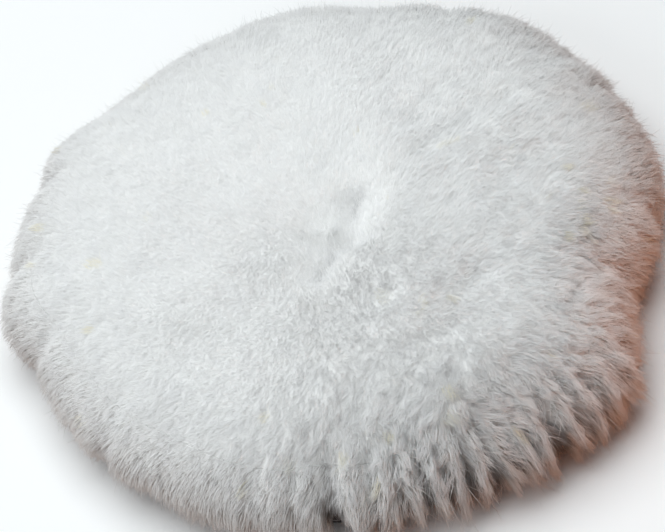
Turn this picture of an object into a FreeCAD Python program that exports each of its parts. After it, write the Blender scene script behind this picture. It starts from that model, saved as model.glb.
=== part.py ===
import FreeCAD, Part
import math
import os

import Sketcher

# A round polishing pad: natural lambswool on hide, over a foam cushion with a loop fabric back.
# +Z is the way the wool faces, and z = 0 is the face of the loop nap that grips the backing plate.
# Every piece is turned about Z, so each one is a section of (radius, height) corners.

doc = FreeCAD.newDocument("PolishingPad")

# --- Driving sizes, in millimetres (the two stitch counts are plain numbers) ---

SIZES = [
    ("back_diameter", 160, "cloth, foam and hide, before the wool"),
    ("centre_hole_diameter", 20, "locating hole, open at the back only"),
    ("nap_thickness", 1.0, "loops that the backing plate's hooks grip"),
    ("cloth_thickness", 0.6, "woven cloth that carries the loops"),
    ("film_thickness", 0.2, "each layer of contact adhesive"),
    ("foam_thickness", 10.0, "cushion"),
    ("foam_shoulder_radius", 4.0, "rounding of the cushion's front edge"),
    ("hide_thickness", 1.4, "sheepskin hide, on the front and round the side"),
    ("seam_inset", 10.0, "from the back's edge in to the seam between the two hides"),
    ("hem_height", 5.0, "binding tape's top edge above the back face"),
    ("hem_turn_under", 3.5, "how far the tape folds in under the cloth"),
    ("tape_thickness", 0.5, "binding tape"),
    ("nap_gap", 0.5, "clearance between the nap's edge and the tape"),
    ("thread_height", 0.25, "how far a stitch stands off what it lies on"),
    ("thread_width", 0.6, "sewing thread pulled flat"),
    ("thread_clearance", 0.2, "between the seam's stitches and the wool over them"),
    ("seam_stitch_length", 2.0, "overlock stitch across the seam"),
    ("seam_stitches", 90, "overlock stitches round the seam"),
    ("hem_stitch_length", 4.0, "lock stitch along the hem"),
    ("hem_stitches", 96, "lock stitches round the hem"),
    ("pile_length", 22.0, "wool on the face, combed out"),
    ("rim_overhang", 15.0, "wool beyond the back's edge"),
    ("rim_floor_gap", 2.0, "underside of the rim wool above the back face"),
    ("rim_bottom_round", 9.0, "rounding under the rim"),
    ("rim_top_round", 12.0, "rounding of the rim's front"),
    ("rim_top_drop", 10.4, "rim's full width ends this far below the crown"),
    ("parting_overhang", 7.0, "where face wool meets side wool, beyond the back's edge"),
    ("parting_drop", 4.0, "where they meet, below the crown"),
    ("crown_inset", 20.0, "from the back's edge in to where the crown starts to fall"),
    ("crown_round", 60.0, "rounding where the crown starts to fall"),
    ("dimple_diameter", 34.0, "mouth of the hollow where wool closes over the hole"),
    ("dimple_floor_diameter", 6.0, "bottom of that hollow"),
    ("dimple_depth", 9.0, "depth of that hollow"),
    ("dimple_lip_round", 10.0, "rounding of its mouth"),
]

sheet = doc.addObject("Spreadsheet::Sheet", "Sizes")
for row, (alias, value, meaning) in enumerate(SIZES, start=1):
    sheet.set(f"A{row}", str(value))
    sheet.setAlias(f"A{row}", alias)
    sheet.set(f"B{row}", f"'{meaning}")
doc.recompute()


def size(name):
    """The expression that reads one cell of the sheet."""
    return f"Sizes.{name}"


# --- Radii and heights that several pieces share, as expressions of the driving sizes ---

back_radius = f"{size('back_diameter')} / 2"
hole_radius = f"{size('centre_hole_diameter')} / 2"
foam_radius = f"({back_radius} - {size('hide_thickness')})"
seam_radius = f"({back_radius} - {size('seam_inset')})"
flat_foam_radius = f"({foam_radius} - {size('foam_shoulder_radius')})"
tape_radius = f"({back_radius} + {size('tape_thickness')})"
tape_lip_radius = f"({back_radius} - {size('hem_turn_under')})"
nap_radius = f"({tape_lip_radius} - {size('nap_gap')})"
parting_radius = f"({back_radius} + {size('parting_overhang')})"
rim_radius = f"({back_radius} + {size('rim_overhang')})"

cloth_bottom = size("nap_thickness")
cloth_top = f"({cloth_bottom} + {size('cloth_thickness')})"
foam_bottom = f"({cloth_top} + {size('film_thickness')})"
foam_top = f"({foam_bottom} + {size('foam_thickness')})"
disc_bottom = f"({foam_top} + {size('film_thickness')})"
disc_top = f"({disc_bottom} + {size('hide_thickness')})"
band_top = f"({foam_top} + {size('hide_thickness')})"
tape_bottom = f"({cloth_bottom} - {size('tape_thickness')})"
crown_height = f"({disc_top} + {size('pile_length')})"
parting_height = f"({crown_height} - {size('parting_drop')})"
thread_room_top = f"({disc_top} + {size('thread_height')} + {size('thread_clearance')})"
hide_shoulder_radius = f"({size('foam_shoulder_radius')} + {size('hide_thickness')})"

# The seam's stitches lie on both hides, half a stitch each side, with room round them.
half_seam_stitch = f"{size('seam_stitch_length')} / 2"
thread_room_inner = f"({seam_radius} - {half_seam_stitch} - {size('thread_clearance')})"
thread_room_outer = f"({seam_radius} + {half_seam_stitch} + {size('thread_clearance')})"


def value_of(expression):
    """What an expression comes to, in millimetres."""
    return float(sheet.evalExpression(expression))


# --- How pieces are made ---


def origin_part(body, role):
    """One of a body's own origin planes or axes."""
    return next(item for item in body.Origin.OriginFeatures if item.Role == role)


def new_sketch(body, name, plane):
    """An empty sketch on one of the body's origin planes."""
    sketch = body.newObject("Sketcher::SketchObject", name)
    sketch.AttachmentSupport = [(origin_part(body, plane), "")]
    sketch.MapMode = "FlatFace"
    return sketch


def set_constraint(sketch, constraint, expression):
    """Adds a dimension and binds it to an expression."""
    index = sketch.addConstraint(constraint)
    sketch.setExpression(f"Constraints[{index}]", expression)


def place_corner(sketch, line, radius, height):
    """Fixes a line's start at a radius from the axis and a height above the back face."""
    start, x_axis, y_axis = 1, -1, -2
    if value_of(radius) == 0:
        sketch.addConstraint(Sketcher.Constraint("PointOnObject", line, start, y_axis))
    else:
        set_constraint(
            sketch, Sketcher.Constraint("DistanceX", line, start, value_of(radius)), radius
        )
    if value_of(height) == 0:
        sketch.addConstraint(Sketcher.Constraint("PointOnObject", line, start, x_axis))
    else:
        set_constraint(
            sketch, Sketcher.Constraint("DistanceY", line, start, value_of(height)), height
        )


def turned_body(label, corners):
    """A body turned about Z from a closed section of (radius, height) corners."""
    body = doc.addObject("PartDesign::Body", label)
    body.Label = label
    section = new_sketch(body, f"{label}_section", "XZ_Plane")
    points = [FreeCAD.Vector(value_of(r), value_of(z), 0) for r, z in corners]
    count = len(points)
    for here in range(count):
        section.addGeometry(Part.LineSegment(points[here], points[(here + 1) % count]), False)
    for here in range(count):
        section.addConstraint(Sketcher.Constraint("Coincident", here, 2, (here + 1) % count, 1))
    for line, (radius, height) in enumerate(corners):
        place_corner(section, line, radius, height)
    turn = body.newObject("PartDesign::Revolution", f"{label}_turn")
    turn.Profile = section
    turn.ReferenceAxis = (section, ["V_Axis"])
    turn.Angle = 360
    doc.recompute()
    return body


def flat_ring(label, inner, outer, bottom, top):
    """A layer of the stack: a ring of one thickness."""
    return turned_body(label, [(inner, bottom), (outer, bottom), (outer, top), (inner, top)])


def edge_at(shape, radius, height):
    """The name of the circular edge about Z of this radius, at this height."""
    for number, edge in enumerate(shape.Edges, start=1):
        if not isinstance(edge.Curve, Part.Circle):
            continue
        here = edge.Curve.Center
        near_axis = math.hypot(here.x, here.y) < 1e-6
        if near_axis and abs(edge.Curve.Radius - radius) < 1e-5 and abs(here.z - height) < 1e-5:
            return f"Edge{number}"
    raise RuntimeError(f"no edge of radius {radius:.3f} at height {height:.3f}")


def round_edge(body, radius, height, rounding):
    """Rounds a body's circular edge, which lies at (radius, height)."""
    base = body.Tip
    fillet = body.newObject("PartDesign::Fillet", f"{body.Label}_round")
    fillet.Base = (base, [edge_at(base.Shape, value_of(radius), value_of(height))])
    fillet.setExpression("Radius", rounding)
    doc.recompute()


def stitch_ring(label, radius, bottom, stitches, radial_length, around_length):
    """Sewing thread: stitches all round at one radius, on the thread that runs through them."""
    run_width = size("thread_width")
    body = flat_ring(
        label,
        f"({radius} - {run_width} / 4)",
        f"({radius} + {run_width} / 4)",
        bottom,
        f"({bottom} + {size('thread_height')})",
    )
    stitch = new_sketch(body, f"{label}_stitch", "XY_Plane")
    stitch.setExpression("AttachmentOffset.Base.z", bottom)
    near = f"({radius} - {radial_length} / 2)"
    far = f"({radius} + {radial_length} / 2)"
    low_x, high_x = value_of(near), value_of(far)
    half_width = value_of(around_length) / 2
    corners = [
        FreeCAD.Vector(low_x, -half_width, 0),
        FreeCAD.Vector(high_x, -half_width, 0),
        FreeCAD.Vector(high_x, half_width, 0),
        FreeCAD.Vector(low_x, half_width, 0),
    ]
    for here in range(4):
        stitch.addGeometry(Part.LineSegment(corners[here], corners[(here + 1) % 4]), False)
    for here in range(4):
        stitch.addConstraint(Sketcher.Constraint("Coincident", here, 2, (here + 1) % 4, 1))
    stitch.addConstraint(Sketcher.Constraint("Horizontal", 0))
    stitch.addConstraint(Sketcher.Constraint("Horizontal", 2))
    stitch.addConstraint(Sketcher.Constraint("Vertical", 1))
    stitch.addConstraint(Sketcher.Constraint("Symmetric", 0, 1, 2, 2, -1))
    set_constraint(stitch, Sketcher.Constraint("DistanceX", 0, 1, low_x), near)
    set_constraint(stitch, Sketcher.Constraint("DistanceX", 0, 2, high_x), far)
    set_constraint(stitch, Sketcher.Constraint("DistanceY", 0, 1, 2, 2, 2 * half_width), around_length)
    pad = body.newObject("PartDesign::Pad", f"{label}_pad")
    pad.Profile = stitch
    pad.setExpression("Length", size("thread_height"))
    doc.recompute()
    pattern = body.newObject("PartDesign::PolarPattern", f"{label}_pattern")
    pattern.Originals = [pad]
    pattern.Axis = (origin_part(body, "Z_Axis"), [""])
    pattern.Angle = 360
    pattern.setExpression("Occurrences", stitches)
    body.Tip = pattern
    doc.recompute()
    return body


# --- The back: loop nap, its cloth, and the layers up to the hide ---


def back_layers():
    """The flat layers that the centre hole runs through."""
    flat_ring("loop_nap", hole_radius, nap_radius, "0", cloth_bottom)
    flat_ring("loop_cloth", hole_radius, back_radius, cloth_bottom, cloth_top)
    flat_ring("lower_adhesive_film", hole_radius, foam_radius, cloth_top, foam_bottom)
    cushion = flat_ring("foam_cushion", hole_radius, foam_radius, foam_bottom, foam_top)
    round_edge(cushion, foam_radius, foam_top, size("foam_shoulder_radius"))
    flat_ring("upper_adhesive_film", hole_radius, seam_radius, foam_top, disc_bottom)
    flat_ring("hide_disc", hole_radius, seam_radius, disc_bottom, disc_top)


# --- The side: hide round the cushion, sewn to the disc and bound at the back ---


def hide_side_band():
    """A strip of hide down the cushion's side, drawn in over its shoulder to the seam."""
    band = turned_body(
        "hide_side_band",
        [
            (foam_radius, cloth_top),
            (back_radius, cloth_top),
            (back_radius, band_top),
            (seam_radius, band_top),
            (seam_radius, foam_top),
            (foam_radius, foam_top),
        ],
    )
    round_edge(band, foam_radius, foam_top, size("foam_shoulder_radius"))
    round_edge(band, back_radius, band_top, hide_shoulder_radius)


def hem_tape():
    """Binding tape round the foot of the side band, folded under the cloth's edge."""
    turned_body(
        "hem_tape",
        [
            (tape_lip_radius, tape_bottom),
            (tape_radius, tape_bottom),
            (tape_radius, size("hem_height")),
            (back_radius, size("hem_height")),
            (back_radius, cloth_bottom),
            (tape_lip_radius, cloth_bottom),
        ],
    )


def sewing_threads():
    """Overlock stitches across the shoulder seam, and lock stitches along the hem."""
    stitch_ring(
        "shoulder_seam_thread",
        seam_radius,
        disc_top,
        size("seam_stitches"),
        size("seam_stitch_length"),
        size("thread_width"),
    )
    stitch_ring(
        "hem_thread",
        f"(({tape_lip_radius} + {tape_radius}) / 2)",
        f"({tape_bottom} - {size('thread_height')})",
        size("hem_stitches"),
        size("thread_width"),
        size("hem_stitch_length"),
    )


# --- The wool ---


def face_pile():
    """Wool on the disc: a low crown, with a hollow where it closes over the centre hole."""
    dimple_radius = f"{size('dimple_diameter')} / 2"
    crown_radius = f"({back_radius} - {size('crown_inset')})"
    dimple_floor = f"({crown_height} - {size('dimple_depth')})"
    pile = turned_body(
        "face_pile",
        [
            ("0", disc_top),
            (thread_room_inner, disc_top),
            (thread_room_inner, thread_room_top),
            (seam_radius, thread_room_top),
            (parting_radius, parting_height),
            (crown_radius, crown_height),
            (dimple_radius, crown_height),
            (f"{size('dimple_floor_diameter')} / 2", dimple_floor),
            ("0", dimple_floor),
        ],
    )
    round_edge(pile, crown_radius, crown_height, size("crown_round"))
    round_edge(pile, dimple_radius, crown_height, size("dimple_lip_round"))


def side_pile():
    """Wool on the side band, which stands out past the back's edge and falls towards the hem."""
    rim_bottom = size("rim_floor_gap")
    rim_top = f"({crown_height} - {size('rim_top_drop')})"
    pile = turned_body(
        "side_pile",
        [
            (tape_radius, rim_bottom),
            (rim_radius, rim_bottom),
            (rim_radius, rim_top),
            (parting_radius, parting_height),
            (seam_radius, thread_room_top),
            (thread_room_outer, thread_room_top),
            (thread_room_outer, band_top),
            (back_radius, band_top),
            (back_radius, size("hem_height")),
            (tape_radius, size("hem_height")),
        ],
    )
    round_edge(pile, back_radius, band_top, hide_shoulder_radius)
    round_edge(pile, rim_radius, rim_bottom, size("rim_bottom_round"))
    round_edge(pile, rim_radius, rim_top, size("rim_top_round"))


# --- Building and writing the pieces ---


def check_document():
    """Stops if any object failed to build."""
    for item in doc.Objects:
        bad_states = {"Invalid", "Error"} & set(item.State)
        if bad_states:
            raise RuntimeError(f"{item.Label} failed: {sorted(bad_states)}")


def write_pieces():
    """Writes each body's solid to parts/ under the body's own name."""
    os.makedirs("parts", exist_ok=True)
    bodies = [item for item in doc.Objects if item.TypeId == "PartDesign::Body"]
    for body in bodies:
        shape = body.Shape
        if shape.isNull() or not shape.isValid() or len(shape.Solids) != 1:
            raise RuntimeError(f"{body.Label} is not one valid solid")
    for body in bodies:
        body.Shape.exportStep(f"parts/{body.Label}.step")
        print(f"{body.Label}: {body.Shape.Volume / 1000:.2f} cm3")


back_layers()
hide_side_band()
hem_tape()
sewing_threads()
face_pile()
side_pile()
doc.recompute()
check_document()
write_pieces()
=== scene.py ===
import math

import bpy
import numpy as np
from mathutils import Matrix, Vector, kdtree


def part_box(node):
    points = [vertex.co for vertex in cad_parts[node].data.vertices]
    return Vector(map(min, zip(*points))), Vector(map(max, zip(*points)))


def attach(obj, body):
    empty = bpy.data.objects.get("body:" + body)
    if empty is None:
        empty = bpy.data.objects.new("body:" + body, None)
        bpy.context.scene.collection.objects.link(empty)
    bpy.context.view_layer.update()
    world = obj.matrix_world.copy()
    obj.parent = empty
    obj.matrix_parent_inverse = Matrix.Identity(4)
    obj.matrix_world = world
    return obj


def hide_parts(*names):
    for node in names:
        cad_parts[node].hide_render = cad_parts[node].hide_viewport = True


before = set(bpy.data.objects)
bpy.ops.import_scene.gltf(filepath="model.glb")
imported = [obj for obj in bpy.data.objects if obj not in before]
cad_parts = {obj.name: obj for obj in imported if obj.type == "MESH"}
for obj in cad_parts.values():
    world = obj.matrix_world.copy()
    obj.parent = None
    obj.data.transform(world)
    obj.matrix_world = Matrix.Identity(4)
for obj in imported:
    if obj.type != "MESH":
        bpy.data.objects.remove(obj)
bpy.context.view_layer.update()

# A lambswool polishing pad, seen from the wool's side. All lengths are in metres.
MM = 0.001
TURN = 2 * math.pi
dice = np.random.default_rng(7)

# The share of the fibres and loops that are made.
QUICK_SHARE = 1.0

# --- Places that the frame gives ---

cloth_low, cloth_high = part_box("loop_cloth")
nap_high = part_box("loop_nap")[1]
tape_low, tape_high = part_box("hem_tape")
foam_low, foam_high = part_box("foam_cushion")
band_low, band_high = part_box("hide_side_band")
disc_low, disc_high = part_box("hide_disc")
rim_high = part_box("side_pile")[1]
face_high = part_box("face_pile")[1]

BACK_RADIUS = cloth_high.y
NAP_RADIUS = nap_high.y
TAPE_RADIUS = tape_high.y
FOAM_RADIUS = foam_high.y
SEAM_RADIUS = disc_high.y
RIM_RADIUS = rim_high.y
HIDE_TOP = disc_high.z
CROWN = face_high.z
PARTING_RADIUS = face_high.y

# These lie inside the boxes: the hole, the foam's rounded edge, and the hem and its stitches.
HOLE_RADIUS = 10 * MM
FOAM_SHOULDER = 4 * MM
TAPE_LIP_RADIUS = 76.5 * MM
HEM_STITCHES = 96

# --- How the wool lies ---

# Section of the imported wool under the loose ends, as (radius, height), from the middle of
# the face over the rim to the tape.
PACKED_WOOL = [
    (0.0, 28.4), (6.0, 29.0), (13.0, 30.8), (26.0, 32.4), (50.0, 32.8), (68.0, 31.6),
    (81.0, 27.2), (88.6, 20.2), (90.8, 12.8), (87.6, 7.6), (81.6, 5.4),
]

# The crease in the middle of the face, as (x, y) points, looking down on it.
CREASE = [(9.0, 8.5), (3.8, -5.5), (-8.0, -20.0)]

# Lines where the pile lies lower, as (start, end, half width, depth).
PARTINGS = [
    (CREASE[0], CREASE[1], 5.2, 3.6),
    (CREASE[1], CREASE[2], 4.0, 2.2),
    ((12.0, 4.0), (30.0, 20.0), 3.0, 1.0),
    ((30.0, 20.0), (54.0, 31.0), 3.4, 1.1),
    ((24.0, 27.0), (38.0, 40.0), 3.0, 0.7),
    ((28.0, -33.0), (37.0, -30.0), 3.6, 1.0),
    ((6.0, -33.0), (12.0, -29.0), 3.4, 1.2),
    ((20.0, -49.0), (27.0, -45.0), 3.2, 1.0),
    ((-3.0, -62.0), (-4.0, -80.0), 3.4, 1.4),
    ((48.0, 3.0), (60.0, 7.0), 3.4, 0.9),
]

# Gaps between the locks on the rim, as (azimuth in degrees, half width in degrees, depth).
RIM_GAPS = [
    (-44.0, 1.2, 2.0), (-49.0, 1.1, 2.8), (-53.5, 1.2, 3.6), (-58.5, 1.7, 5.2), (-63.0, 1.0, 3.4),
    (-67.0, 1.1, 3.0), (-71.0, 1.2, 4.0), (-75.0, 1.2, 3.6), (-79.0, 1.0, 2.8), (-83.0, 1.2, 3.2),
    (-87.5, 1.0, 2.4), (-92.0, 1.0, 2.4), (-99.6, 1.8, 4.6), (-106.0, 1.0, 1.6), (-113.0, 1.2, 1.4),
    (-38.0, 1.4, 1.8), (-22.0, 2.0, 1.8), (-5.0, 2.0, 1.8), (24.0, 2.2, 1.5), (60.0, 2.0, 1.2),
    (150.0, 2.4, 1.6), (170.0, 2.0, 1.4), (-170.0, 2.2, 1.8), (-145.0, 2.6, 2.0),
]

# Where the rim's wool stands further out or less far, as (azimuth, half width, amount).
RIM_SWELLS = [
    (-54.0, 16.0, 1.5), (-24.0, 16.0, -9.0), (-42.0, 7.0, 4.0), (22.0, 12.0, 3.0),
    (46.0, 20.0, 6.0), (60.0, 12.0, 2.5), (-84.0, 9.0, -2.5), (-69.0, 8.0, -2.0),
    (-101.0, 5.0, -2.5), (-132.0, 12.0, -3.0), (-160.0, 14.0, -3.5), (178.0, 7.0, 3.5),
    (126.0, 9.0, -1.0), (142.0, 9.0, 4.5), (156.0, 8.0, 1.5), (90.0, 14.0, 4.0),
]

# Where locks are cream, as (x, y, z, reach, share of the locks).
CREAM_TUFTS = [
    (66.0, -13.0, 32.0, 8.0, 0.35), (-12.0, -87.0, 12.0, 6.0, 0.6), (11.0, -88.0, 13.0, 5.0, 0.5),
    (30.0, -84.0, 16.0, 6.0, 0.4),
]


class Waves:
    """A smooth, seeded field of soft lumps about `length` across, mostly between -1 and 1."""

    def __init__(self, length, count=24):
        way = dice.normal(size=(count, 3))
        way /= np.linalg.norm(way, axis=1)[:, None]
        self.waves = way * (TURN / length) * dice.uniform(0.6, 1.5, count)[:, None]
        self.shifts = dice.uniform(0, TURN, count)

    def at(self, places):
        total = np.sin(places @ self.waves.T + self.shifts).sum(1)
        return total / math.sqrt(len(self.shifts))


broad_lumps = Waves(34 * MM)
small_lumps = Waves(9 * MM)
combing = Waves(30 * MM)
combing_fine = Waves(11 * MM)
lock_lengths = Waves(14 * MM)


def blend_between(low, high, value):
    """0 below low, 1 above high, and a smooth step between them."""
    part = np.clip((value - low) / (high - low), 0, 1)
    return part * part * (3 - 2 * part)


def from_azimuth(azimuth, centre):
    """How far azimuths lie from one in degrees, from -180 to 180."""
    return (np.degrees(azimuth) - centre + 180) % 360 - 180


def section_curve(points, count):
    """A smooth curve through (radius, height) points, evenly spaced along its length."""
    points = np.array(points) * MM
    ends = np.vstack([points[1] * (-1, 1), points, 2 * points[-1] - points[-2]])
    curve = []
    for a, b, c, d in zip(ends[:-3], ends[1:-2], ends[2:-1], ends[3:]):
        for t in np.linspace(0, 1, 40, endpoint=False):
            curve.append(
                0.5 * (2 * b + (c - a) * t + (2 * a - 5 * b + 4 * c - d) * t**2
                       + (3 * b - a - 3 * c + d) * t**3)
            )
    curve = np.array(curve + [points[-1]])
    along = np.append(0, np.cumsum(np.linalg.norm(np.diff(curve, axis=0), axis=1)))
    even = np.linspace(0, along[-1], count)
    return np.stack([np.interp(even, along, curve[:, 0]), np.interp(even, along, curve[:, 1])], 1)


SECTION_STEPS = 600
section = section_curve(PACKED_WOOL, SECTION_STEPS)
section_way = np.gradient(section, axis=0)
section_way /= np.linalg.norm(section_way, axis=1)[:, None]


def rim_swell(azimuth):
    """How much further out than a plain circle the rim's wool stands."""
    total = np.zeros_like(azimuth)
    for centre, width, amount in RIM_SWELLS:
        total += amount * MM * np.exp(-(from_azimuth(azimuth, centre) / width) ** 2)
    return total


def looseness(azimuth):
    """Near 1 where the wool is long and shaggy, and lower where it is combed and packed."""
    return 0.26 + 0.74 * np.exp(-(from_azimuth(azimuth, -66.0) / 46.0) ** 2)


def from_line(x, y, start, end):
    """How far places lie across from a line and past its ends, looking down."""
    run = np.array([end[0] - start[0], end[1] - start[1]]) * MM
    length = np.linalg.norm(run)
    run /= length
    dx, dy = x - start[0] * MM, y - start[1] * MM
    along = dx * run[0] + dy * run[1]
    across = dy * run[0] - dx * run[1] + 0.8 * MM * np.sin(along / (3.1 * MM))
    return across, np.maximum(np.maximum(-along, along - length), 0)


def partings_at(x, y):
    """Depth of the partings on the face."""
    depth = np.zeros_like(x)
    for start, end, width, deep in PARTINGS:
        across, past = from_line(x, y, start, end)
        depth += deep * MM * np.exp(-(across / (width * MM)) ** 2 - (past / (4.0 * MM)) ** 2)
    return depth


def from_crease(x, y):
    """Distance from the crease in the middle, looking down."""
    nearest = np.full_like(x, np.inf)
    for start, end in zip(CREASE[:-1], CREASE[1:]):
        nearest = np.minimum(nearest, np.hypot(*from_line(x, y, start, end)))
    return nearest


def rim_gaps_at(azimuth):
    """Depth of the gaps between locks, and which way the wool is pushed round the rim."""
    depth = np.zeros_like(azimuth)
    lean = np.zeros_like(azimuth)
    for centre, width, deep in RIM_GAPS:
        off = from_azimuth(azimuth, centre) / width
        depth += deep * MM * np.exp(-off**2)
        lean += off * np.exp(-((off / 1.8) ** 2)) * min(deep / 4, 1.2)
    return depth, lean


BROAD_LUMP_HEIGHT = 0.5 * MM
SMALL_LUMP_HEIGHT = 0.3 * MM


class PackedWool:
    """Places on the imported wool's surface, from the share along the section and the azimuth."""

    def __init__(self, share, azimuth):
        step = share * (SECTION_STEPS - 1)
        steps = np.arange(SECTION_STEPS)
        radius = np.interp(step, steps, section[:, 0])
        height = np.interp(step, steps, section[:, 1])
        way_out = np.interp(step, steps, section_way[:, 0])
        way_up = np.interp(step, steps, section_way[:, 1])
        self.azimuth = azimuth
        self.cos, self.sin = np.cos(azimuth), np.sin(azimuth)
        self.along = np.stack([way_out * self.cos, way_out * self.sin, way_up], 1)
        self.out = np.stack([-way_up * self.cos, -way_up * self.sin, way_out], 1)
        self.round = np.stack([-self.sin, self.cos, np.zeros_like(self.cos)], 1)
        near_rim = blend_between(48 * MM, 84 * MM, radius)
        wide = radius * (1 + near_rim * rim_swell(azimuth) / RIM_RADIUS)
        over_tape = np.minimum(radius, TAPE_RADIUS + 1 * MM)
        wide = np.maximum(wide, over_tape * (1 - blend_between(10 * MM, 18 * MM, height)))
        place = np.stack([wide * self.cos, wide * self.sin, height], 1)
        on_face = blend_between(0.2, 0.8, self.out[:, 2])
        depth = partings_at(place[:, 0], place[:, 1])
        gap, self.gap_lean = rim_gaps_at(azimuth)
        self.near_rim = near_rim
        self.on_face = on_face
        self.loose = looseness(azimuth) * (0.16 + 0.84 * near_rim)
        self.gap = gap * blend_between(72 * MM, 86 * MM, radius)
        self.gap_lean = self.gap_lean * blend_between(74 * MM, 88 * MM, radius)
        self.ruffled = 0.35 + 0.65 * blend_between(-20 * MM, 45 * MM, place[:, 0] - 0.4 * place[:, 1])
        small = SMALL_LUMP_HEIGHT * self.ruffled * small_lumps.at(place)
        lumps = BROAD_LUMP_HEIGHT * broad_lumps.at(place) + small
        lumps *= blend_between(0, 0.04, 1 - share)
        self.place = place + self.out * (lumps - depth * on_face - self.gap)[:, None]


# --- Mesh building ---


def mesh_from_faces(name, places, faces, sizes, map_places=None):
    """A mesh from arrays: places, the corners of its faces one after another, and their sizes."""
    mesh = bpy.data.meshes.new(name)
    mesh.vertices.add(len(places))
    mesh.vertices.foreach_set("co", places.astype(np.float32).ravel())
    mesh.loops.add(len(faces))
    mesh.loops.foreach_set("vertex_index", faces.astype(np.int32))
    mesh.polygons.add(len(sizes))
    starts = np.append(0, np.cumsum(sizes)[:-1]).astype(np.int32)
    mesh.polygons.foreach_set("loop_start", starts)
    mesh.polygons.foreach_set("loop_total", sizes.astype(np.int32))
    mesh.polygons.foreach_set("use_smooth", np.full(len(sizes), True))
    if map_places is not None:
        layer = mesh.uv_layers.new(name="OFBake")
        layer.data.foreach_set("uv", map_places.astype(np.float32).ravel())
    mesh.update(calc_edges=True)
    return mesh


def add_piece(name, mesh, material, replaced=()):
    """Puts a mesh in the scene as a piece of the pad, in place of any nodes it replaces."""
    piece = bpy.data.objects.new(name, mesh)
    bpy.context.collection.objects.link(piece)
    mesh.materials.append(material)
    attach(piece, "root")
    if replaced:
        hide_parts(*replaced)
    return piece


def grid_faces(rows, columns, closed=False):
    """Four-cornered faces of a grid whose columns, and rows if closed, close on themselves."""
    row, column = np.meshgrid(np.arange(rows - 1 + closed), np.arange(columns), indexing="ij")
    after = (column + 1) % columns
    here = row * columns
    above = (row + 1) % rows * columns
    corners = [here + column, here + after, above + after, above + column]
    return np.stack([c.ravel() for c in corners], 1)


def turns(columns):
    """Azimuths of a turned form's columns, and the way out at each."""
    azimuth = np.linspace(-math.pi, math.pi, columns, endpoint=False)
    return azimuth, np.stack([np.cos(azimuth), np.sin(azimuth)], 1)


def tubes(middles, width, helper):
    """Three corners round each point of many lines, as (line, corner, xyz)."""
    way = np.gradient(middles, axis=1)
    across = np.cross(way, helper)
    across /= np.maximum(np.linalg.norm(across, axis=2), 1e-9)[:, :, None]
    other = np.cross(way, across)
    other /= np.maximum(np.linalg.norm(other, axis=2), 1e-9)[:, :, None]
    corners = []
    for side in range(3):
        angle = TURN * side / 3
        reach = math.cos(angle) * across + math.sin(angle) * other
        corners.append(middles + reach * width[:, :, None])
    return np.stack(corners, 2).reshape(len(middles), -1, 3)


# --- Fibres ---

# Shares of a fibre's length where it has a ring of corners, and how thick it is there.
LONG_FIBRE = np.array([(0.0, 1.0), (0.34, 0.95), (0.66, 0.78), (0.88, 0.5)])
SHORT_FIBRE = np.array([(0.0, 1.0), (0.6, 0.85)])

# How far a fibre is shaded as the pile's surface, and how far as a round thread of its own.
AS_PILE, AS_THREAD = 0.8, 0.45


def fibre_mesh(name, form, root, bend, tip, girth, tone, out):
    """Closed three-sided fibres, each a smooth bend from root to tip that ends in a point.

    Light soaks through wool, so they are shaded partly as the surface of the pile, which faces out.
    """
    count = len(root)
    rings = len(form)
    t = form[None, :, :1]
    middle = root[:, None] * (1 - t) ** 2 + 2 * bend[:, None] * t * (1 - t) + tip[:, None] * t**2
    helper = dice.normal(size=(count, 1, 3))
    around = tubes(middle, girth[:, None] * form[None, :, 1], helper)
    places = np.concatenate([around, tip[:, None]], 1).reshape(-1, 3)
    per_fibre = rings * 3 + 1
    quads = grid_faces(rings, 3)
    last = (rings - 1) * 3
    point = np.array([[last + s, last + (s + 1) % 3, rings * 3] for s in range(3)])
    foot = np.array([[2, 1, 0]])
    one = np.concatenate([quads.ravel(), point.ravel(), foot.ravel()])
    one_sizes = np.concatenate([np.full(len(quads), 4), np.full(4, 3)])
    faces = (one[None, :] + np.arange(count)[:, None] * per_fibre).ravel()
    heights = np.append(np.repeat(form[:, 0], 3), 1.0)
    spread = np.append(np.tile([-1.0, 0.0, 1.0], rings), 0.0) * 0.004
    map_x = 0.01 + 0.98 * tone[:, None] + spread[one][None, :]
    map_y = np.broadcast_to(0.01 + 0.98 * heights[one][None, :], map_x.shape)
    map_places = np.stack([map_x, map_y], 2).reshape(-1, 2)
    mesh = mesh_from_faces(name, places, faces, np.tile(one_sizes, count), map_places)
    round_it = around.reshape(count, rings, 3, 3) - middle[:, :, None]
    round_it /= np.maximum(np.linalg.norm(round_it, axis=3), 1e-9)[..., None]
    shaded = out[:, None, None] * AS_PILE + round_it * AS_THREAD
    shaded = np.concatenate([shaded.reshape(count, -1, 3), out[:, None]], 1).reshape(-1, 3)
    layer = mesh.attributes.new("custom_normal", "FLOAT_VECTOR", "POINT")
    layer.data.foreach_set("vector", unit(shaded).astype(np.float32).ravel())
    return mesh


def unit(vectors):
    """Vectors made one long."""
    return vectors / np.maximum(np.linalg.norm(vectors, axis=1), 1e-9)[:, None]


# The share of fibres that stand out of their lock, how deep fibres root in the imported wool, and
# how low they reach.
STRAY_SHARE = 0.09
ROOT_DEPTH = 0.7 * MM
LOWEST_TIP = 1.4 * MM
LOWEST_BEND = 1.6 * MM


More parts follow.
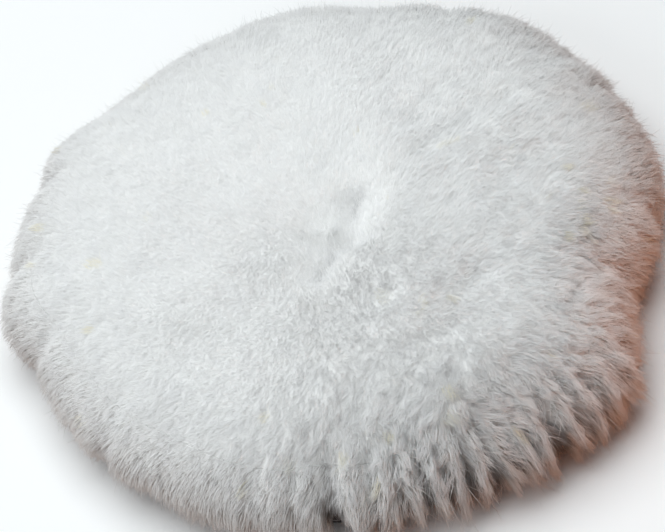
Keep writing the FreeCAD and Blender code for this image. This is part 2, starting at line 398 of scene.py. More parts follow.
def lie_of_fibres(spot, tilt_by, turn_by):
    """The way the fibres point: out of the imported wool, laid over along the section."""
    away = from_crease(spot.place[:, 0], spot.place[:, 1])
    tilt = np.radians(
        12 + 40 * blend_between(1 * MM, 16 * MM, away) + 4 * blend_between(14 * MM, 50 * MM, away)
        - 14 * spot.near_rim * (1 - spot.on_face)
    )
    tilt = tilt + tilt_by
    turn = turn_by + 0.35 * combing.at(spot.place) + 0.15 * combing_fine.at(spot.place)
    laid = spot.along * np.cos(turn)[:, None] + spot.round * np.sin(turn)[:, None]
    way = spot.out * np.cos(tilt)[:, None] + laid * np.sin(tilt)[:, None]
    way += spot.round * (spot.gap_lean * 0.35)[:, None]
    return unit(way)


def places_over(count, low_share, high_share):
    """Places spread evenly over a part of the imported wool's surface."""
    steps = np.linspace(0, 1, SECTION_STEPS)
    weight = np.where((steps >= low_share) & (steps <= high_share), section[:, 0] + 1 * MM, 0)
    total = np.cumsum(weight)
    share = np.interp(dice.uniform(0, total[-1], count), total, steps)
    return PackedWool(np.clip(share, low_share, high_share), dice.uniform(-math.pi, math.pi, count))


def make_locks(count):
    """Locks that fibres gather into: where each grows, where it ends, and how it differs."""
    spot = places_over(count, 0, 1)
    loose = spot.loose
    tilt_by = dice.normal(0, 0.10, count) * (0.5 * spot.ruffled + 1.3 * loose)
    turn_by = dice.normal(0, 0.16, count) * (0.5 * spot.ruffled + 1.5 * loose)
    way = lie_of_fibres(spot, tilt_by, turn_by)
    length = (3.1 + 0.8 * spot.near_rim * (1 - spot.on_face) + 3.4 * loose * spot.near_rim) * MM
    length *= 1 + dice.uniform(-1, 1, count) * (0.05 + 0.16 * loose)
    length *= 0.76 + 0.24 * spot.ruffled + 0.07 * lock_lengths.at(spot.place)
    tree = kdtree.KDTree(count)
    for number, place in enumerate(spot.place):
        tree.insert(place, number)
    tree.balance()
    locks = {"place": spot.place, "tip": spot.place + way * length[:, None], "length": length}
    locks["tilt_by"], locks["turn_by"] = tilt_by, turn_by
    locks["tone"] = np.clip(dice.normal(0.46, 0.12, count), 0.3, 0.76)
    cream = 0.004 + 0.03 * loose
    for x, y, z, reach, share in CREAM_TUFTS:
        away = np.linalg.norm(spot.place - np.array([x, y, z]) * MM, axis=1) / (reach * MM)
        cream += share * np.exp(-away**2)
    stained = dice.uniform(size=count) < cream
    locks["tone"] = np.where(stained, dice.uniform(0.82, 0.98, count), locks["tone"])
    return locks, tree


def make_fibres(count, low_share, high_share, locks, tree, girth):
    """Roots, bends, tips, girths, tones and ways out of the fibres on one part of the pad."""
    spot = places_over(count, low_share, high_share)
    lock = np.array([tree.find(place)[1] for place in spot.place])
    loose = spot.loose
    stray = dice.uniform(size=count) < STRAY_SHARE * (0.4 + 0.6 * spot.near_rim)
    spread = 0.2 + 0.7 * spot.ruffled + 4.0 * stray
    way = lie_of_fibres(
        spot,
        locks["tilt_by"][lock] + dice.normal(0, 0.10, count) * spread,
        locks["turn_by"][lock] + dice.normal(0, 0.14, count) * spread,
    )
    length = locks["length"][lock] * dice.uniform(0.6, 1.1, count) * (1 + 0.4 * stray)
    length *= 1 - 0.5 * np.clip(spot.gap / (5 * MM), 0, 1)
    root = spot.place - spot.out * ROOT_DEPTH
    free_tip = spot.place + way * length[:, None]
    own = (spot.place - locks["place"][lock]) * 0.45
    gather = 0.08 + 0.55 * loose * (0.2 + 0.8 * spot.near_rim) + dice.normal(0, 0.06, count)
    gather = np.clip(gather, 0, 0.9) * ~stray
    tip = free_tip + (locks["tip"][lock] + own - free_tip) * gather[:, None]
    tip[:, 2] -= (length * spot.near_rim * (1 - spot.on_face)) * (0.12 + 0.16 * loose)
    upright = unit(spot.out * 0.9 + way * 0.5)
    bend = root + upright * (length * 0.45)[:, None]
    bend += dice.normal(0, 0.035, (count, 3)) * (length * (1 + loose))[:, None]
    tip += dice.normal(0, 0.05, (count, 3)) * (length * (1 + loose))[:, None]
    tip[:, 2] = np.maximum(tip[:, 2], LOWEST_TIP)
    bend[:, 2] = np.maximum(bend[:, 2], LOWEST_BEND)
    # Painted shade: the fibres' tone is darkened low in the gaps between locks and along the crease, where
    # less light gets in.
    tone = locks["tone"][lock] + dice.normal(0, 0.05, count)
    low = 1 - blend_between(14 * MM, 28 * MM, spot.place[:, 2])
    shade = low * np.clip(spot.gap / (3 * MM), 0, 1)
    away = from_crease(spot.place[:, 0], spot.place[:, 1])
    shade += 0.75 * np.exp(-((away / (3 * MM)) ** 2))
    tone = np.clip(tone * (1 - shade), 0.0, 1.0)
    width = girth * dice.uniform(0.7, 1.2, count)
    return root, bend, tip, width, tone, spot.out


# --- Materials ---


def new_material(name):
    """A material with its nodes, its links and its Principled shader."""
    material = bpy.data.materials.new(name)
    material.use_nodes = True
    nodes = material.node_tree.nodes
    shader = next(n for n in nodes if n.type == "BSDF_PRINCIPLED")
    return material, nodes, material.node_tree.links, shader


def new_group(name, inputs, outputs):
    """A node group with named sockets, each (name, socket type, value)."""
    group = bpy.data.node_groups.new(name, "ShaderNodeTree")
    for label, kind, value in inputs:
        socket = group.interface.new_socket(label, in_out="INPUT", socket_type=kind)
        socket.default_value = value
    for label, kind in outputs:
        group.interface.new_socket(label, in_out="OUTPUT", socket_type=kind)
    return group, group.nodes.new("NodeGroupInput"), group.nodes.new("NodeGroupOutput")


FLOAT, COLOUR = "NodeSocketFloat", "NodeSocketColor"


def mix_colours(nodes, links, factor, first, second):
    """A colour mix whose inputs are sockets or plain values. Returns the result's socket."""
    mix = nodes.new("ShaderNodeMix")
    mix.data_type = "RGBA"
    for socket, value in ((mix.inputs[0], factor), (mix.inputs[6], first), (mix.inputs[7], second)):
        if isinstance(value, bpy.types.NodeSocket):
            links.new(value, socket)
        else:
            socket.default_value = value
    return mix.outputs[2]


def ramp(nodes, links, source, stops):
    """A colour ramp over a 0 to 1 value, from (place, colour) stops."""
    node = nodes.new("ShaderNodeValToRGB")
    links.new(source, node.inputs[0])
    elements = node.color_ramp.elements
    while len(elements) < len(stops):
        elements.new(0.5)
    for element, (place, colour) in zip(elements, stops):
        element.position = place
        element.color = colour
    return node.outputs[0]


def mapped_range(nodes, links, source, low, high):
    """A value's place between low and high, from 0 to 1."""
    node = nodes.new("ShaderNodeMapRange")
    links.new(source, node.inputs["Value"])
    node.inputs["From Min"].default_value = low
    node.inputs["From Max"].default_value = high
    return node.outputs["Result"]


def calculate(nodes, links, operation, *values):
    """A sum of sockets or plain values. Returns the result's socket."""
    node = nodes.new("ShaderNodeMath")
    node.operation = operation
    for socket, value in zip(node.inputs, values):
        if isinstance(value, bpy.types.NodeSocket):
            links.new(value, socket)
        else:
            socket.default_value = value
    return node.outputs[0]


def soft_mottle_group():
    """Uneven tone and fine relief for anything spun, woven, felted or foamed."""
    group, give, take = new_group(
        "soft mottle",
        [("Broad Scale", FLOAT, 60.0), ("Fine Scale", FLOAT, 900.0), ("Unevenness", FLOAT, 0.2)],
        [("Tone", FLOAT), ("Relief", FLOAT)],
    )
    nodes, links = group.nodes, group.links
    where = nodes.new("ShaderNodeTexCoord")
    broad = nodes.new("ShaderNodeTexNoise")
    fine = nodes.new("ShaderNodeTexNoise")
    for noise, label in ((broad, "Broad Scale"), (fine, "Fine Scale")):
        links.new(where.outputs["Object"], noise.inputs["Vector"])
        links.new(give.outputs[label], noise.inputs["Scale"])
    fine.inputs["Detail"].default_value = 4.0
    sway = calculate(nodes, links, "SUBTRACT", broad.outputs["Fac"], 0.5)
    share = calculate(nodes, links, "MULTIPLY", sway, give.outputs["Unevenness"])
    links.new(calculate(nodes, links, "ADD", share, 1.0), take.inputs["Tone"])
    links.new(fine.outputs["Fac"], take.inputs["Relief"])
    return group


def wool_tone_group():
    """Wool's colour: duller at the skin, partly as painted shade deep in the pile, white at the ends,
    cream in some locks, and dark where shade is painted.
    """
    group, give, take = new_group(
        "wool tone",
        [
            ("Height", FLOAT, 0.5),
            ("Lock", FLOAT, 0.4),
            ("Near Skin", COLOUR, (0.5, 0.45, 0.38, 1)),
            ("Ends", COLOUR, (0.9, 0.9, 0.88, 1)),
            ("Cream", COLOUR, (0.85, 0.8, 0.62, 1)),
        ],
        [("Colour", COLOUR)],
    )
    nodes, links = group.nodes, group.links
    height = mapped_range(nodes, links, give.outputs["Height"], 0.05, 0.5)
    base = mix_colours(nodes, links, height, give.outputs["Near Skin"], give.outputs["Ends"])
    # Low lock values give painted shade; higher ones differ at random.
    shade = ramp(
        nodes, links, give.outputs["Lock"],
        [(0.0, (0.34, 0.34, 0.35, 1)), (0.16, (0.94, 0.94, 0.95, 1)), (0.6, (1, 1, 1, 1))],
    )
    toned = nodes.new("ShaderNodeMix")
    toned.data_type = "RGBA"
    toned.blend_type = "MULTIPLY"
    toned.inputs[0].default_value = 1.0
    links.new(base, toned.inputs[6])
    links.new(shade, toned.inputs[7])
    stained = mapped_range(nodes, links, give.outputs["Lock"], 0.80, 0.95)
    colour = mix_colours(nodes, links, stained, toned.outputs[2], give.outputs["Cream"])
    links.new(colour, take.inputs["Colour"])
    return group


def woven_group():
    """Threads over and under each other: a tone and a relief."""
    group, give, take = new_group(
        "weave",
        [("Threads", FLOAT, 5000.0), ("Unevenness", FLOAT, 0.4)],
        [("Tone", FLOAT), ("Relief", FLOAT)],
    )
    nodes, links = group.nodes, group.links
    where = nodes.new("ShaderNodeTexCoord")
    split = nodes.new("ShaderNodeSeparateXYZ")
    links.new(where.outputs["Object"], split.inputs[0])
    rows = []
    for label in ("X", "Y"):
        slope = calculate(nodes, links, "ADD", split.outputs[label], split.outputs["Z"])
        turned = calculate(nodes, links, "MULTIPLY", slope, give.outputs["Threads"])
        rows.append(calculate(nodes, links, "SINE", turned, 0.0))
    crossed = calculate(nodes, links, "MULTIPLY", rows[0], rows[1])
    relief = calculate(nodes, links, "MULTIPLY_ADD", crossed, 0.5, 0.5)
    sway = calculate(nodes, links, "SUBTRACT", relief, 0.5)
    share = calculate(nodes, links, "MULTIPLY", sway, give.outputs["Unevenness"])
    links.new(calculate(nodes, links, "ADD", share, 1.0), take.inputs["Tone"])
    links.new(relief, take.inputs["Relief"])
    return group


def place_group(nodes, group, **values):
    """Puts a node group in a material and sets its inputs, whose names have _ for spaces."""
    node = nodes.new("ShaderNodeGroup")
    node.node_tree = group
    for label, value in values.items():
        node.inputs[label.replace("_", " ").title()].default_value = value
    return node


# Wool colours. The skin colours are duller root wool and partly painted shade deep in the pile; the side's
# is darker still, as painted shade between the locks.
WOOL_END = (0.92, 0.92, 0.91, 1)
WOOL_PACKED = (0.84, 0.84, 0.83, 1)
ROOT_TONE_AND_SHADE = (0.80, 0.78, 0.75, 1)
SIDE_ROOT_TONE_AND_SHADE = (0.36, 0.33, 0.29, 1)
WOOL_CREAM = (0.88, 0.84, 0.70, 1)
# Painted shade deep in the gaps between locks, low on the side.
GAP_PAINTED_SHADE = (0.10, 0.095, 0.085, 1)


def loose_wool_material(name, tone_group, near_skin):
    """Loose fibres, whose map holds each one's lock tone, with its painted shade, across and its height
    up.
    """
    material, nodes, links, shader = new_material(name)
    layout = nodes.new("ShaderNodeUVMap")
    layout.uv_map = "OFBake"
    split = nodes.new("ShaderNodeSeparateXYZ")
    links.new(layout.outputs[0], split.inputs[0])
    tone = place_group(nodes, tone_group, near_skin=near_skin, ends=WOOL_END, cream=WOOL_CREAM)
    links.new(split.outputs["X"], tone.inputs["Lock"])
    links.new(split.outputs["Y"], tone.inputs["Height"])
    links.new(tone.outputs["Colour"], shader.inputs["Base Color"])
    shader.inputs["Roughness"].default_value = 0.82
    shader.inputs["Specular IOR Level"].default_value = 0.12
    shader.inputs["Sheen Weight"].default_value = 0.25
    shader.inputs["Sheen Roughness"].default_value = 0.5
    return material


def packed_wool_material(tone_group, mottle_group):
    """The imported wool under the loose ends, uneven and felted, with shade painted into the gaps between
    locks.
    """
    material, nodes, links, shader = new_material("packed_wool")
    mottle = place_group(nodes, mottle_group, broad_scale=90.0, fine_scale=700.0, unevenness=0.5)
    tone = place_group(nodes, tone_group, near_skin=ROOT_TONE_AND_SHADE, ends=WOOL_PACKED, cream=WOOL_CREAM)
    height = calculate(nodes, links, "MULTIPLY", mottle.outputs["Tone"], 0.42)
    links.new(height, tone.inputs["Height"])
    links.new(mottle.outputs["Relief"], tone.inputs["Lock"])
    # Painted shade: the gap attribute darkens the wool deep in the gaps between locks.
    gap = nodes.new("ShaderNodeAttribute")
    gap.attribute_name = "gap"
    colour = mix_colours(nodes, links, gap.outputs["Fac"], tone.outputs["Colour"], GAP_PAINTED_SHADE)
    links.new(colour, shader.inputs["Base Color"])
    bump = nodes.new("ShaderNodeBump")
    bump.inputs["Strength"].default_value = 0.5
    bump.inputs["Distance"].default_value = 0.5 * MM
    links.new(mottle.outputs["Relief"], bump.inputs["Height"])
    links.new(bump.outputs[0], shader.inputs["Normal"])
    shader.inputs["Roughness"].default_value = 0.85
    shader.inputs["Specular IOR Level"].default_value = 0.2
    return material


def worked_material(name, field_group, darker, lighter, roughness, relief, sheen=0.0, **field_inputs):
    """A finish between two colours, with its tone and relief from a node group."""
    material, nodes, links, shader = new_material(name)
    field = place_group(nodes, field_group, **field_inputs)
    tone = mapped_range(nodes, links, field.outputs["Tone"], 0.8, 1.2)
    links.new(mix_colours(nodes, links, tone, darker, lighter), shader.inputs["Base Color"])
    bump = nodes.new("ShaderNodeBump")
    bump.inputs["Strength"].default_value = 0.7
    bump.inputs["Distance"].default_value = relief
    links.new(field.outputs["Relief"], bump.inputs["Height"])
    links.new(bump.outputs[0], shader.inputs["Normal"])
    shader.inputs["Roughness"].default_value = roughness
    shader.inputs["Sheen Weight"].default_value = sheen
    return material


def back_finishes(mottle, weave):
    """The finishes of everything but the wool, by material slot."""
    finishes = {}
    finishes["loop_fabric"] = worked_material(
        "loop_fabric", mottle, (0.30, 0.31, 0.33, 1), (0.46, 0.47, 0.49, 1), 0.78, 0.05 * MM, 0.3,
        broad_scale=220.0, fine_scale=2600.0, unevenness=0.9,
    )
    finishes["backing_cloth"] = worked_material(
        "backing_cloth", weave, (0.20, 0.21, 0.22, 1), (0.42, 0.43, 0.45, 1), 0.85, 0.12 * MM, 0.2,
        threads=5200.0, unevenness=0.5,
    )
    finishes["cushion_foam"] = worked_material(
        "cushion_foam", mottle, (0.60, 0.55, 0.42, 1), (0.80, 0.76, 0.64, 1), 0.92, 0.35 * MM,
        broad_scale=500.0, fine_scale=1500.0, unevenness=1.1,
    )
    finishes["adhesive"] = worked_material(
        "adhesive", mottle, (0.50, 0.38, 0.16, 1), (0.66, 0.54, 0.28, 1), 0.32, 0.03 * MM,
        broad_scale=120.0, fine_scale=900.0, unevenness=0.8,
    )
    finishes["sheep_hide"] = worked_material(
        "sheep_hide", mottle, (0.52, 0.39, 0.25, 1), (0.74, 0.61, 0.44, 1), 0.80, 0.12 * MM, 0.3,
        broad_scale=160.0, fine_scale=2200.0, unevenness=0.9,
    )
    finishes["hem_tape"] = worked_material(
        "hem_tape", weave, (0.025, 0.026, 0.03, 1), (0.085, 0.087, 0.095, 1), 0.7, 0.1 * MM, 0.2,
        threads=9000.0, unevenness=0.5,
    )
    for slot_name, dark, light in (
        ("hem_thread", (0.50, 0.49, 0.46, 1), (0.80, 0.79, 0.75, 1)),
        ("seam_thread", (0.62, 0.58, 0.48, 1), (0.86, 0.83, 0.74, 1)),
    ):
        finishes[slot_name] = worked_material(
            slot_name, weave, dark, light, 0.55, 0.08 * MM, threads=16000.0, unevenness=0.5,
        )
    return finishes


# --- The back: loop fabric, foam, hide and hem ---


def arc(centre_radius, centre_height, radius, start, end, count=10):
    """Points on an arc in a section, between two angles in degrees."""
    angles = np.radians(np.linspace(start, end, count))
    return [(centre_radius + radius * math.cos(a), centre_height + radius * math.sin(a)) for a in angles]


def softened_section(corners, step, passes):
    """A closed section with points no further apart than step, and its corners eased."""
    points = []
    for start, end in zip(corners, corners[1:] + corners[:1]):
        start, end = np.array(start), np.array(end)
        parts = max(2, math.ceil(np.linalg.norm(end - start) / step))
        points += [start + (end - start) * k / parts for k in range(parts)]
    points = np.array(points)
    for _ in range(passes):
        points = (np.roll(points, 1, 0) + 2 * points + np.roll(points, -1, 0)) / 4
    return points


def turned_layer(name, node, slot, finishes, corners, step, columns, relief, shape=None):
    """A ring-shaped layer from its section's corners, anticlockwise, with an uneven surface."""
    section = softened_section(corners, step, 2)
    run = np.roll(section, -1, 0) - np.roll(section, 1, 0)
    out = np.stack([run[:, 1], -run[:, 0]], 1)
    out /= np.maximum(np.linalg.norm(out, axis=1), 1e-9)[:, None]
    azimuth, round_way = turns(columns)
    depth, length = relief
    heights = np.broadcast_to(section[:, None, 1:], (len(section), columns, 1))
    places = np.concatenate([section[:, None, :1] * round_way[None], heights], 2)
    swell = depth * Waves(length).at(places.reshape(-1, 3)).reshape(len(section), columns)
    if shape:
        swell = swell + shape(section, azimuth)
    places[:, :, :2] += (swell * out[:, :1])[:, :, None] * round_way[None]
    places[:, :, 2] += swell * out[:, 1:]
    faces = grid_faces(len(section), columns, closed=True)
    mesh = mesh_from_faces(name, places.reshape(-1, 3), faces.ravel(), np.full(len(faces), 4))
    return add_piece(name, mesh, finishes[slot], [node])


def stitch_puckers(section, azimuth):
    """The hem tape pulled in at each stitch, and slack between them."""
    stitch_radius = (TAPE_LIP_RADIUS + TAPE_RADIUS) / 2
    near = np.exp(-(((section[:, 0] - stitch_radius) / (1.1 * MM)) ** 2))
    near *= section[:, 1] < tape_low.z + 0.3 * MM
    edge = 0.6 * blend_between(3 * MM, 5 * MM, section[:, 1])
    pull = 0.5 + 0.5 * np.cos(HEM_STITCHES * azimuth)
    return (near + edge)[:, None] * (0.1 * MM * pull)[None]


# Nodes that show as they are, and their finishes.
CARRIED_FINISHES = {
    "lower_adhesive_film": "adhesive", "upper_adhesive_film": "adhesive",
    "shoulder_seam_thread": "seam_thread", "hem_thread": "hem_thread",
}


def make_back(finishes):
    """Every layer of the pad but the wool, from the loop fabric up to the hide."""
    base_bottom = nap_high.z - 0.4 * MM
    turned_layer(
        "loop_nap_base", "loop_nap", "loop_fabric", finishes,
        [(HOLE_RADIUS, base_bottom), (NAP_RADIUS, base_bottom), (NAP_RADIUS, nap_high.z),
         (HOLE_RADIUS, nap_high.z)], 1.0 * MM, 400, (0.03 * MM, 5 * MM),
    )
    cloth = turned_layer(
        "backing_cloth", "loop_cloth", "backing_cloth", finishes,
        [(HOLE_RADIUS, cloth_low.z), (BACK_RADIUS, cloth_low.z), (BACK_RADIUS, cloth_high.z),
         (HOLE_RADIUS, cloth_high.z)], 1.0 * MM, 400, (0.02 * MM, 7 * MM),
    )
    shoulder = (FOAM_RADIUS - FOAM_SHOULDER, foam_high.z - FOAM_SHOULDER)
    foam = turned_layer(
        "foam_pad", "foam_cushion", "cushion_foam", finishes,
        [(HOLE_RADIUS, foam_low.z), (FOAM_RADIUS, foam_low.z), *arc(*shoulder, FOAM_SHOULDER, 0, 90),
         (HOLE_RADIUS, foam_high.z)], 0.9 * MM, 400, (0.09 * MM, 2.2 * MM),
    )
    disc = turned_layer(
        "hide_face_disc", "hide_disc", "sheep_hide", finishes,
        [(HOLE_RADIUS, disc_low.z), (SEAM_RADIUS, disc_low.z), (SEAM_RADIUS, HIDE_TOP),
         (HOLE_RADIUS, HIDE_TOP)], 1.2 * MM, 320, (0.06 * MM, 6 * MM),
    )
    tape = turned_layer(
        "hem_tape_edge", "hem_tape", "hem_tape", finishes,
        [(TAPE_LIP_RADIUS, tape_low.z), (TAPE_RADIUS, tape_low.z), (TAPE_RADIUS, tape_high.z),
         (BACK_RADIUS, tape_high.z), (BACK_RADIUS, cloth_low.z), (TAPE_LIP_RADIUS, cloth_low.z)],
        0.25 * MM, HEM_STITCHES * 10, (0.03 * MM, 4 * MM), stitch_puckers,
    )
    thick = BACK_RADIUS - FOAM_RADIUS
    band = turned_layer(
        "hide_side_strip", "hide_side_band", "sheep_hide", finishes,
        [(FOAM_RADIUS, band_low.z), (BACK_RADIUS, band_low.z),
         *arc(*shoulder, FOAM_SHOULDER + thick, 0, 90), (SEAM_RADIUS, band_high.z),
         (SEAM_RADIUS, foam_high.z), *arc(*shoulder, FOAM_SHOULDER, 90, 0)],
        0.8 * MM, 400, (0.05 * MM, 5 * MM),
    )
    for node, slot in CARRIED_FINISHES.items():
        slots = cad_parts[node].data.materials
        slots.clear()
        slots.append(finishes[slot])


NAP_LOOPS = int(12000 * QUICK_SHARE)
LOOPS_A_PIECE = 4000
LOOP_RINGS = 6


def make_nap_loops(finishes):
    """The loops that the machine's hooks catch, standing down from the loop fabric."""
    radius = np.sqrt(dice.uniform((HOLE_RADIUS + 0.6 * MM) ** 2, (NAP_RADIUS - 0.6 * MM) ** 2, NAP_LOOPS))
    azimuth = dice.uniform(-math.pi, math.pi, NAP_LOOPS)
    lie = dice.uniform(0, TURN, NAP_LOOPS)
    half = dice.uniform(0.22, 0.42, NAP_LOOPS) * MM
    deep = dice.uniform(0.55, 0.84, NAP_LOOPS) * MM
    foot = nap_high.z - 0.12 * MM
    steps = math.pi * np.linspace(0, 1, LOOP_RINGS)[None]
    reach = half[:, None] * np.cos(steps) * (1 + 0.35 * np.sin(steps))
    sag = 0.25 * half[:, None] * np.sin(steps) * np.sin(2 * lie)[:, None]
    way_x, way_y = np.cos(lie)[:, None], np.sin(lie)[:, None]
    middles = np.stack([
        (radius * np.cos(azimuth))[:, None] + reach * way_x - sag * way_y,
        (radius * np.sin(azimuth))[:, None] + reach * way_y + sag * way_x,
        foot - deep[:, None] * np.sin(steps),
    ], 2)
    around = tubes(middles, np.full(middles.shape[:2], 0.06 * MM), np.array([[[0.31, 0.17, 0.93]]]))
    per_loop = around.shape[1]
    quads = grid_faces(LOOP_RINGS, 3)
    ends = np.array([2, 1, 0, per_loop - 3, per_loop - 2, per_loop - 1])
    one = np.concatenate([quads.ravel(), ends])
    one_sizes = np.append(np.full(len(quads), 4), [3, 3])
    pieces = math.ceil(NAP_LOOPS / LOOPS_A_PIECE)
    for number, chosen in enumerate(np.array_split(np.argsort(azimuth), pieces), start=1):
        faces = (one[None] + np.arange(len(chosen))[:, None] * per_loop).ravel()
        name = f"nap_loops_{number}"
        mesh = mesh_from_faces(name, around[chosen].reshape(-1, 3), faces, np.tile(one_sizes, len(chosen)))
        add_piece(name, mesh, finishes["loop_fabric"], ["loop_nap"])


# --- The wool ---

FACE_FIBRES = int(190000 * QUICK_SHARE)
RIM_FIBRES = int(72000 * QUICK_SHARE)
FIBRES_A_PIECE = 10000
FACE_GIRTH = 0.04 * MM
RIM_GIRTH = 0.065 * MM
LOCKS = 5200


def parting_share():
    """How far along the section the face's wool meets the side's."""
    rise = (CROWN - 4 * MM - HIDE_TOP) / (PARTING_RADIUS - SEAM_RADIUS)
    beyond = section[:, 1] - HIDE_TOP - rise * (section[:, 0] - SEAM_RADIUS)
    return float(np.argmax(beyond < 0)) / (SECTION_STEPS - 1)


def packed_wool_surface(low_share, high_share, rows, columns):
    """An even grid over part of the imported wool, row by row."""
    azimuth = np.linspace(-math.pi, math.pi, columns, endpoint=False)
    share = np.linspace(low_share, high_share, rows)
    grid_share, grid_azimuth = np.meshgrid(share, azimuth, indexing="ij")
    return PackedWool(grid_share.ravel(), grid_azimuth.ravel())


def write_painted_gap_shade(mesh, gaps):
    """Keeps painted shade for the material: how deep in a gap between locks each corner is, low on the
    side.
    """
    heights = np.empty(len(mesh.vertices) * 3, np.float32)
    mesh.vertices.foreach_get("co", heights)
    low = 1 - blend_between(9 * MM, 22 * MM, heights[2::3])
    layer = mesh.attributes.new("gap", "FLOAT", "POINT")
    layer.data.foreach_set("value", (np.clip(gaps / (4 * MM), 0, 1) * low).astype(np.float32))


def packed_face(share, material):
    """The face's packed wool: a closed form on the hide disc."""
    rows, columns = 150, 480
    top = packed_wool_surface(share / rows, share, rows, columns).place
    round_way = turns(columns)[1]
    rings = []
    for radius, height in ((SEAM_RADIUS, HIDE_TOP + 0.3 * MM), (30 * MM, HIDE_TOP)):
        rings.append(np.column_stack([round_way * radius, np.full(columns, height)]))
    middle_top = top[:columns].mean(0)
    middle_foot = np.array([0, 0, HIDE_TOP])
    places = np.vstack([top, *rings, middle_top, middle_foot])
    grid = grid_faces(rows + 2, columns)
    column = np.arange(columns)
    after = (column + 1) % columns
    last = (rows + 1) * columns
    cap = np.stack([after, column, np.full(columns, len(places) - 2)], 1)
    foot = np.stack([last + column, last + after, np.full(columns, len(places) - 1)], 1)
    faces = np.concatenate([grid[:, ::-1].ravel(), cap[:, ::-1].ravel(), foot[:, ::-1].ravel()])
    sizes = np.concatenate([np.full(len(grid), 4), np.full(2 * columns, 3)])
    mesh = mesh_from_faces("face_packed_wool", places, faces, sizes)
    piece = add_piece("face_packed_wool", mesh, material, ["face_pile"])


def packed_side(share, material):
    """The side's packed wool: a closed ring from the parting down to the tape."""
    rows, columns = 90, 640
    outside = packed_wool_surface(share, 1, rows, columns)
    round_way = turns(columns)[1]
    inner = [
        (TAPE_RADIUS + 0.1 * MM, 5.2 * MM), (BACK_RADIUS + 0.1 * MM, 7.8 * MM),
        (BACK_RADIUS - 1.5 * MM, 11.8 * MM), (BACK_RADIUS - 5 * MM, HIDE_TOP),
        (SEAM_RADIUS + 0.4 * MM, HIDE_TOP + 0.6 * MM),
    ]
    rings = [np.column_stack([round_way * r, np.full(columns, h)]) for r, h in inner]
    places = np.vstack([outside.place, *rings])
    rows = rows + len(rings)
    faces = grid_faces(rows, columns, closed=True)[:, ::-1]
    mesh = mesh_from_faces("side_packed_wool", places, faces.ravel(), np.full(len(faces), 4))
    # Painted shade in the gaps between locks, for the material.
    write_painted_gap_shade(mesh, np.append(outside.gap, np.zeros(len(rings) * columns)))
    piece = add_piece("side_packed_wool", mesh, material, ["side_pile"])


def loose_fibres(name, form, count, shares, locks, tree, girth, material, node):
    """One zone's loose fibres, shared out between pieces by azimuth."""
    fibres = make_fibres(count, *shares, locks, tree, girth)
    azimuth = np.arctan2(fibres[0][:, 1], fibres[0][:, 0])
    order = np.argsort(azimuth)
    pieces = max(1, math.ceil(count / FIBRES_A_PIECE))
    for number, chosen in enumerate(np.array_split(order, pieces), start=1):
        label = f"{name}_{number}"
        mesh = fibre_mesh(label, form, *(part[chosen] for part in fibres))
        add_piece(label, mesh, material, [node])


def make_wool(mottle_group):
    """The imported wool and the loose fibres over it, on the face and on the side."""
    tone_group = wool_tone_group()
    packed = packed_wool_material(tone_group, mottle_group)
    face_loose = loose_wool_material("face_wool", tone_group, ROOT_TONE_AND_SHADE)
    side_loose = loose_wool_material("side_wool", tone_group, SIDE_ROOT_TONE_AND_SHADE)
    share = parting_share()
    packed_face(share, packed)
    packed_side(share, packed)
    locks, tree = make_locks(LOCKS)
    face, side = (0, share), (share, 1)
    loose_fibres(
        "face_wool", SHORT_FIBRE, FACE_FIBRES, face, locks, tree, FACE_GIRTH, face_loose, "face_pile"
    )
    loose_fibres(
        "side_wool", LONG_FIBRE, RIM_FIBRES, side, locks, tree, RIM_GIRTH, side_loose, "side_pile"
    )


# --- Camera, lights and floor ---

VIEW_HEIGHT = 48.9
VIEW_ROLL = 11.5
VIEW_DISTANCE = 0.95
FRAME_WIDTH = 186.0 * MM
RIM_MIDDLE = Vector((0, 0, 15.5 * MM))
AIM_LEFT, AIM_DOWN = 1.6 * MM, 2.2 * MM
SENSOR_WIDTH = 36.0


def add_camera():
    """A camera that looks down on the pad from its near side, a little rolled."""
    camera = bpy.data.objects.new("camera", bpy.data.cameras.new("camera"))
    bpy.context.collection.objects.link(camera)
    height = math.radians(VIEW_HEIGHT)
    back = Vector((0, -math.cos(height), math.sin(height)))
    turned = back.to_track_quat("Z", "Y").to_matrix() @ Matrix.Rotation(-math.radians(VIEW_ROLL), 3, "Z")
    aim = RIM_MIDDLE - turned.col[0] * AIM_LEFT - turned.col[1] * AIM_DOWN
    camera.matrix_world = Matrix.Translation(aim + back * VIEW_DISTANCE) @ turned.to_4x4()
    camera.data.sensor_width = SENSOR_WIDTH
    camera.data.lens = SENSOR_WIDTH * VIEW_DISTANCE / FRAME_WIDTH
    camera.data.clip_start = 0.01
    bpy.context.scene.camera = camera


# The backdrop and the floor are pale to look at, and give back a duller light, the floor's warm.
BACKDROP = 0.9
ROOM_LIGHT = 0.06
FLOOR_PALE = (0.96, 0.96, 0.96, 1)
FLOOR_BOUNCE = (0.38, 0.22, 0.15, 1)


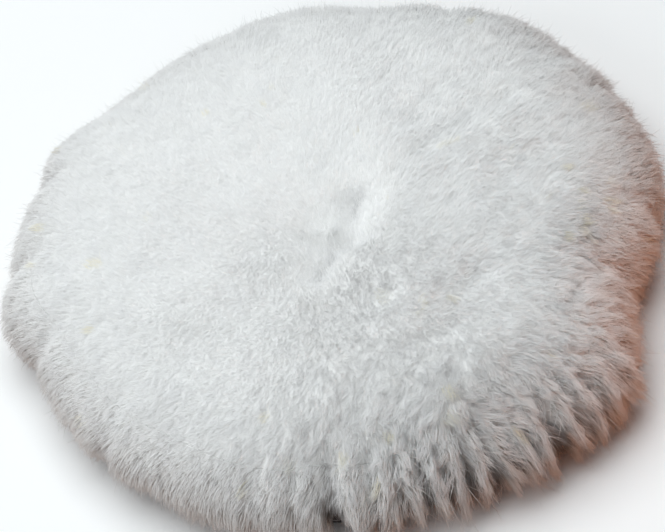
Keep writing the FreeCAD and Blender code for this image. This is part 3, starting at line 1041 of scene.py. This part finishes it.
def add_light(name, place, size, watts, colour, spread=180):
    """A square lamp aimed at the pad, which the camera doesn't see. Its spread is in degrees."""
    lamp = bpy.data.lights.new(name, "AREA")
    lamp.size = size
    lamp.energy = watts
    lamp.color = colour
    lamp.spread = math.radians(spread)
    light = bpy.data.objects.new(name, lamp)
    bpy.context.collection.objects.link(light)
    light.location = place
    light.rotation_euler = (RIM_MIDDLE - Vector(place)).to_track_quat("-Z", "Y").to_euler()
    light.visible_camera = False


def add_lights():
    """A broad window from above, a fill from the left and a weak warm glow on the right."""
    add_light("window_light", (-0.22, 0.3, 1.32), 1.6, 22.5, (0.94, 0.985, 1.0))
    add_light("front_fill", (-1.0, -0.8, 0.7), 1.0, 7.5, (0.94, 0.98, 1.0))
    add_light("warm_side", (0.38, -0.20, 0.075), 0.08, 0.03, (1.0, 0.31, 0.11), 60)
    world = bpy.data.worlds.new("room")
    bpy.context.scene.world = world
    world.use_nodes = True
    nodes, links = world.node_tree.nodes, world.node_tree.links
    shade = next(n for n in nodes if n.type == "BACKGROUND")
    shade.inputs["Color"].default_value = (0.93, 0.95, 1.0, 1)
    seen = nodes.new("ShaderNodeLightPath").outputs["Is Camera Ray"]
    strength = calculate(nodes, links, "MULTIPLY_ADD", seen, BACKDROP - ROOM_LIGHT, ROOM_LIGHT)
    links.new(strength, shade.inputs["Strength"])


def add_floor():
    """A plain pale floor, which isn't part of the pad."""
    mesh = bpy.data.meshes.new("floor")
    reach = 2.5
    corners = [(-reach, -reach, 0), (reach, -reach, 0), (reach, reach, 0), (-reach, reach, 0)]
    mesh.from_pydata(corners, [], [(0, 1, 2, 3)])
    floor = bpy.data.objects.new("floor", mesh)
    bpy.context.collection.objects.link(floor)
    material, nodes, links, shader = new_material("pale_floor")
    seen = nodes.new("ShaderNodeLightPath").outputs["Is Camera Ray"]
    colour = mix_colours(nodes, links, seen, FLOOR_BOUNCE, FLOOR_PALE)
    links.new(colour, shader.inputs["Base Color"])
    shader.inputs["Roughness"].default_value = 0.9
    mesh.materials.append(material)


def set_view():
    """Plain colours, with no tone curve."""
    scene = bpy.context.scene
    scene.view_settings.view_transform = "Standard"
    scene.view_settings.look = "None"
    scene.view_settings.exposure = 0.0


mottle_fields = soft_mottle_group()
make_wool(mottle_fields)
back_finish = back_finishes(mottle_fields, woven_group())
make_back(back_finish)
make_nap_loops(back_finish)
add_camera()
add_lights()
add_floor()
set_view()
